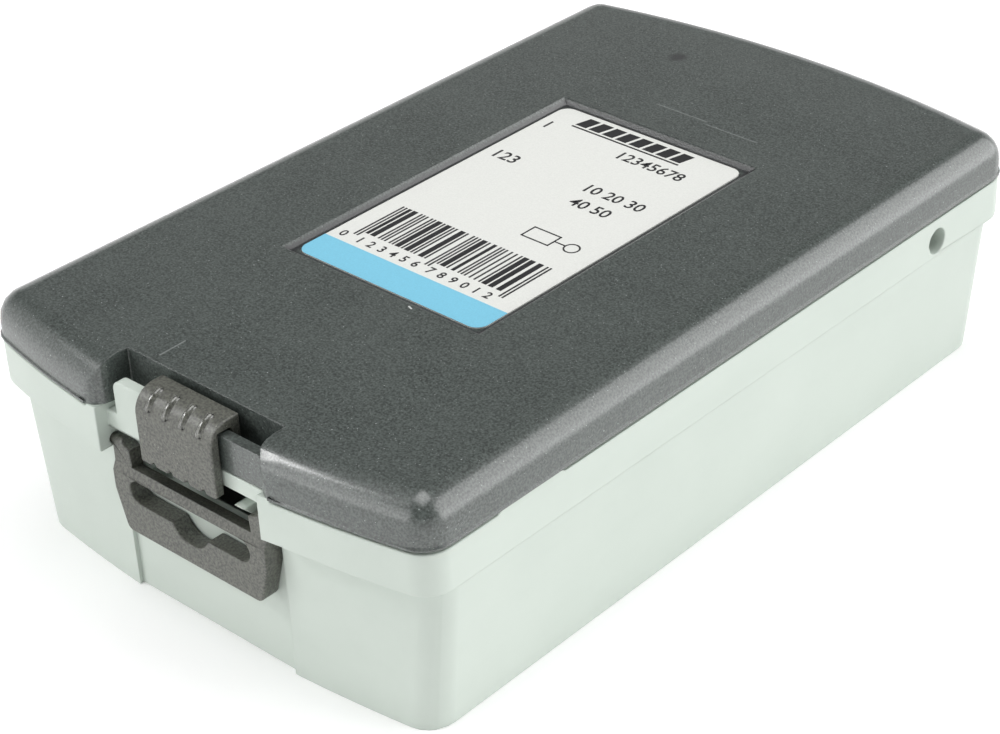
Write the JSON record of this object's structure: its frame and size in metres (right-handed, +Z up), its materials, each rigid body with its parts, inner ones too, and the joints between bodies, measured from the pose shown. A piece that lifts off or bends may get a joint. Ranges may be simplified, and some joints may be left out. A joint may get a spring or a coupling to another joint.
{
  "type": "drill bit case",
  "caption": "Moulded drill bit case: hinged lid lifts tilting drill racks on side links, with a sliding latch and a swivelling slotted hanger.",
  "frame": {"origin": "centre of the base face, at table height", "axes": "+X across the case, +Y along it from the latch end to the hinge end, +Z up through the lid"},
  "size_m": [0.0966, 0.1607, 0.0433],
  "materials": {
    "shell": "smooth moulded, pale grey-green",
    "lid_plastic": "fine speckled grain, charcoal",
    "clip_plastic": "coarse satin grain, brownish grey",
    "label_paper": "printed film",
    "rack_plastic": "satin, charcoal",
    "pin_steel": "bright drawn wire",
    "drill_steel": "ground, bright"
  },
  "bodies": {
    "case_body": {"body": "shell", "hinge_pin_left": "pin_steel", "hinge_pin_right": "pin_steel"},
    "lid": {"lid": "lid_plastic", "label": "label_paper"},
    "latch": {"latch": "clip_plastic"},
    "hanger": {"hanger": "clip_plastic"},
    "rack_front": {"rack_front": "rack_plastic", "drills_front_lower": "drill_steel", "drills_front_upper": "drill_steel"},
    "rack_middle": {"rack_middle": "rack_plastic", "drills_middle_lower": "drill_steel", "drills_middle_upper": "drill_steel"},
    "rack_rear": {"rack_rear": "rack_plastic", "drills_rear_lower": "drill_steel", "drills_rear_upper": "drill_steel"},
    "side_link_left": {"side_link_left": "rack_plastic"},
    "side_link_right": {"side_link_right": "rack_plastic"}
  },
  "joints": [
    {"name": "lid_hinge", "type": "hinge", "parent": "case_body", "child": "lid", "pos_m": [0, 0.0802, 0.0356], "axis": [-1, 0, 0], "range_deg": [0, 95]},
    {"name": "latch_slide", "type": "slide", "parent": "lid", "child": "latch", "axis": [1, 0, 0], "range_m": [0, 0.0086]},
    {"name": "hanger_hinge", "type": "hinge", "parent": "case_body", "child": "hanger", "pos_m": [0, -0.0752, 0.02875], "axis": [-1, 0, 0], "range_deg": [0, 90]},
    {"name": "rack_front_hinge", "type": "hinge", "parent": "case_body", "child": "rack_front", "pos_m": [0, -0.0096, 0.009], "axis": [-1, 0, 0], "range_deg": [0, 95]},
    {"name": "rack_middle_hinge", "type": "hinge", "parent": "case_body", "child": "rack_middle", "pos_m": [0, 0.01911, 0.0193], "axis": [-1, 0, 0], "range_deg": [0, 95]},
    {"name": "rack_rear_hinge", "type": "hinge", "parent": "case_body", "child": "rack_rear", "pos_m": [0, 0.05211, 0.0306], "axis": [-1, 0, 0], "range_deg": [0, 95]},
    {"name": "link_left_pivot", "type": "hinge", "parent": "rack_rear", "child": "side_link_left", "pos_m": [-0.0417, 0.04061, 0.0333], "axis": [-1, 0, 0], "range_deg": [-95, 0]},
    {"name": "link_right_pivot", "type": "hinge", "parent": "rack_rear", "child": "side_link_right", "pos_m": [0.0417, 0.04061, 0.0333], "axis": [-1, 0, 0], "range_deg": [-95, 0]}
  ],
  "couplings": [
    {"joint": "rack_front_hinge", "follows": "lid_hinge", "ratio": 1},
    {"joint": "rack_middle_hinge", "follows": "lid_hinge", "ratio": 1},
    {"joint": "rack_rear_hinge", "follows": "lid_hinge", "ratio": 1},
    {"joint": "link_left_pivot", "follows": "lid_hinge", "ratio": -1},
    {"joint": "link_right_pivot", "follows": "lid_hinge", "ratio": -1}
  ]
}
